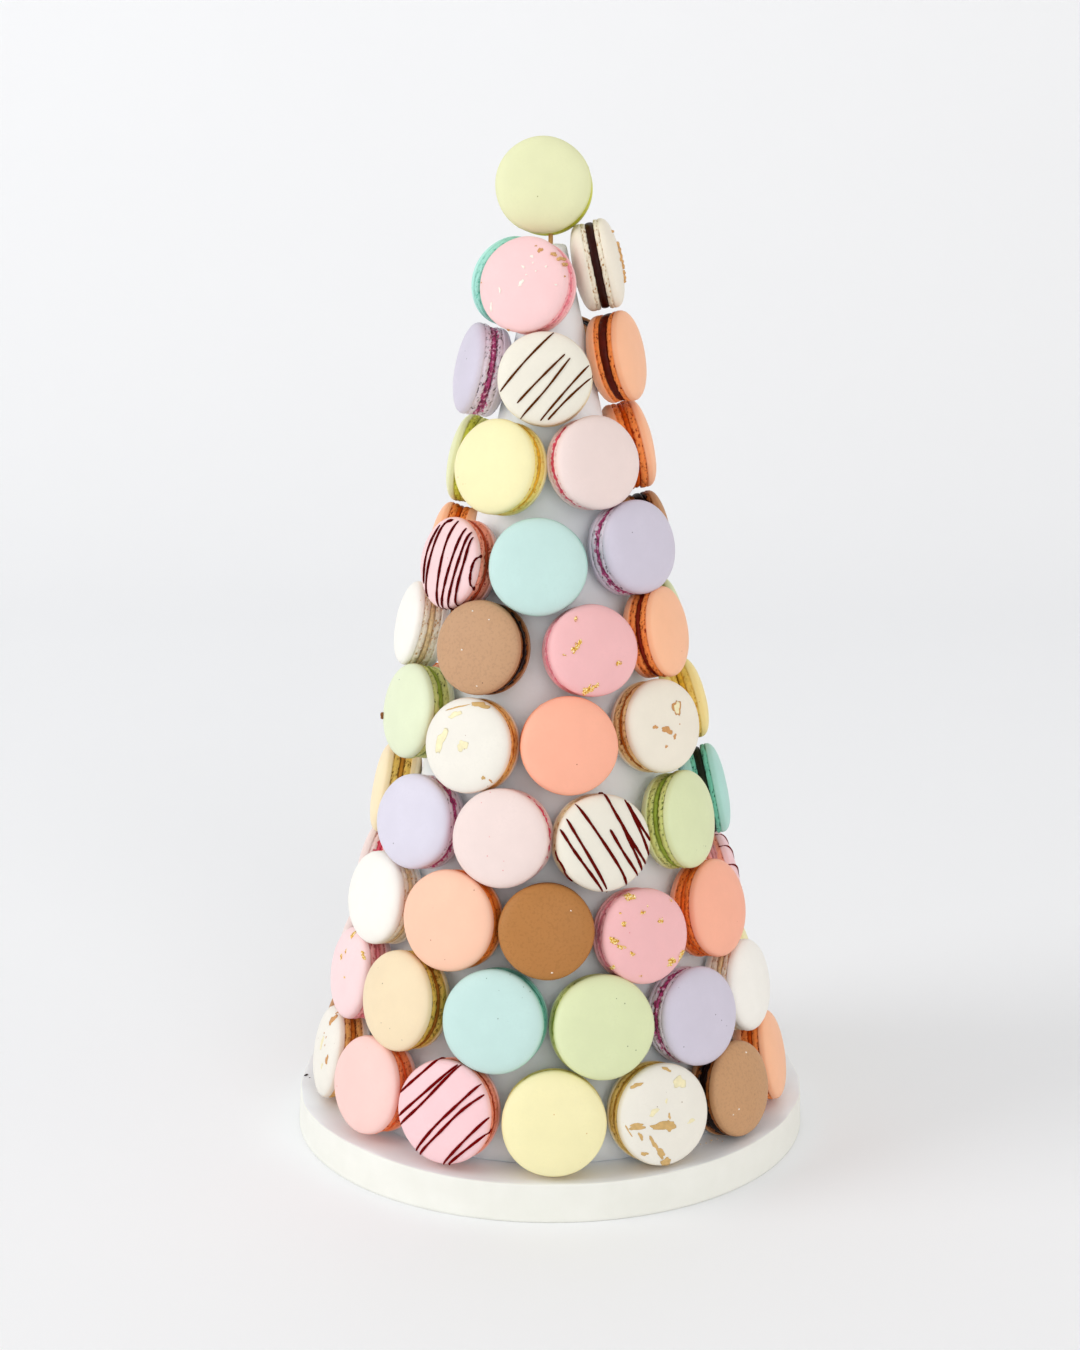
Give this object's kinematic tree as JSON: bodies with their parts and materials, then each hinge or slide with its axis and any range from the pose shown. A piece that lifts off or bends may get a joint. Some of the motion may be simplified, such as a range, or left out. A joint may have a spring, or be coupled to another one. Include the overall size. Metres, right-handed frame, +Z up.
{
  "type": "macaron tower",
  "caption": "Tall white cone on a round cake board, covered from foot to tip in rings of filled pastel macarons, with another standing on a pick at the top.",
  "frame": {"origin": "centre of the board's underside", "axes": "+Z up along the tower, -Y towards the front of the tower, +X to the viewer's right"},
  "size_m": [0.256, 0.256, 0.4861],
  "materials": {
    "board": "matt white cake board",
    "cone": "matt white foam cone",
    "pick": "bare wood",
    "shell_salmon": "satin macaron shell",
    "shell_pink": "satin macaron shell",
    "shell_rose": "satin macaron shell",
    "shell_blush": "satin macaron shell",
    "shell_peach": "satin macaron shell",
    "shell_coral": "satin macaron shell",
    "shell_orange": "satin macaron shell",
    "shell_yellow": "satin macaron shell",
    "shell_lime": "satin macaron shell",
    "shell_tan": "satin macaron shell",
    "shell_beige": "satin macaron shell",
    "shell_pistachio": "satin macaron shell",
    "shell_mint": "satin macaron shell",
    "shell_aqua": "satin macaron shell",
    "shell_lavender": "satin macaron shell",
    "shell_mocha": "satin macaron shell",
    "shell_white": "satin macaron shell",
    "shell_ivory": "satin macaron shell",
    "shell_cream": "satin macaron shell",
    "filling_chocolate": "soft chocolate filling",
    "filling_fruit": "soft fruit filling",
    "filling_caramel": "soft caramel filling",
    "filling_cream": "soft cream filling",
    "filling_pink": "soft pink cream filling",
    "drizzle": "glossy chocolate drizzle",
    "gold_leaf": "crumpled gold leaf",
    "sugar": "sugar grains",
    "crumb": "dark crumbs"
  },
  "bodies": {
    "root": {"back_lower": "shell_white", "back_middle": "shell_white", "back_upper": "shell_white", "board": "board", "cone": "cone", "pick": "pick", "ring10_1_pink_gold": "shell_rose", "ring10_2_cream_gold": "shell_cream", "ring10_3_mint": "shell_mint", "ring1_1_white_gold": "shell_ivory", "ring1_2_salmon": "shell_salmon", "ring1_3_pink_striped": "shell_pink", "ring1_4_yellow": "shell_yellow", "ring1_5_white_gold": "shell_ivory", "ring1_6_mocha": "shell_mocha", "ring1_7_orange": "shell_orange", "ring2_1_pink_gold": "shell_rose", "ring2_2_tan": "shell_tan", "ring2_3_aqua": "shell_aqua", "ring2_4_pistachio": "shell_pistachio", "ring2_5_lavender": "shell_lavender", "ring2_6_white": "shell_white", "ring2_7_yellow": "shell_yellow", "ring3_1_pale_pink": "shell_blush", "ring3_2_white": "shell_white", "ring3_3_peach": "shell_peach", "ring3_4_mocha": "shell_mocha", "ring3_5_pink_gold": "shell_rose", "ring3_6_coral": "shell_coral", "ring3_7_pink_striped": "shell_pink", "ring4_1_beige": "shell_beige", "ring4_2_lavender": "shell_lavender", "ring4_3_pale_pink": "shell_blush", "ring4_4_white_striped": "shell_ivory", "ring4_5_pistachio": "shell_pistachio", "ring4_6_mint": "shell_mint", "ring5_1_pistachio": "shell_pistachio", "ring5_2_white_gold": "shell_ivory", "ring5_3_coral": "shell_coral", "ring5_4_cream_gold": "shell_cream", "ring5_5_yellow": "shell_yellow", "ring6_1_white": "shell_white", "ring6_2_mocha": "shell_mocha", "ring6_3_pink_gold": "shell_rose", "ring6_4_orange": "shell_orange", "ring6_5_pistachio": "shell_pistachio", "ring7_1_orange": "shell_orange", "ring7_2_pink_striped": "shell_pink", "ring7_3_aqua": "shell_aqua", "ring7_4_lavender": "shell_lavender", "ring7_5_mocha": "shell_mocha", "ring8_1_lime": "shell_lime", "ring8_2_yellow": "shell_yellow", "ring8_3_pale_pink": "shell_blush", "ring8_4_orange": "shell_orange", "ring9_1_lavender": "shell_lavender", "ring9_2_white_striped": "shell_ivory", "ring9_3_orange": "shell_orange", "ring9_4_mocha": "shell_mocha", "top_lime": "shell_lime"}
  },
  "joints": []
}
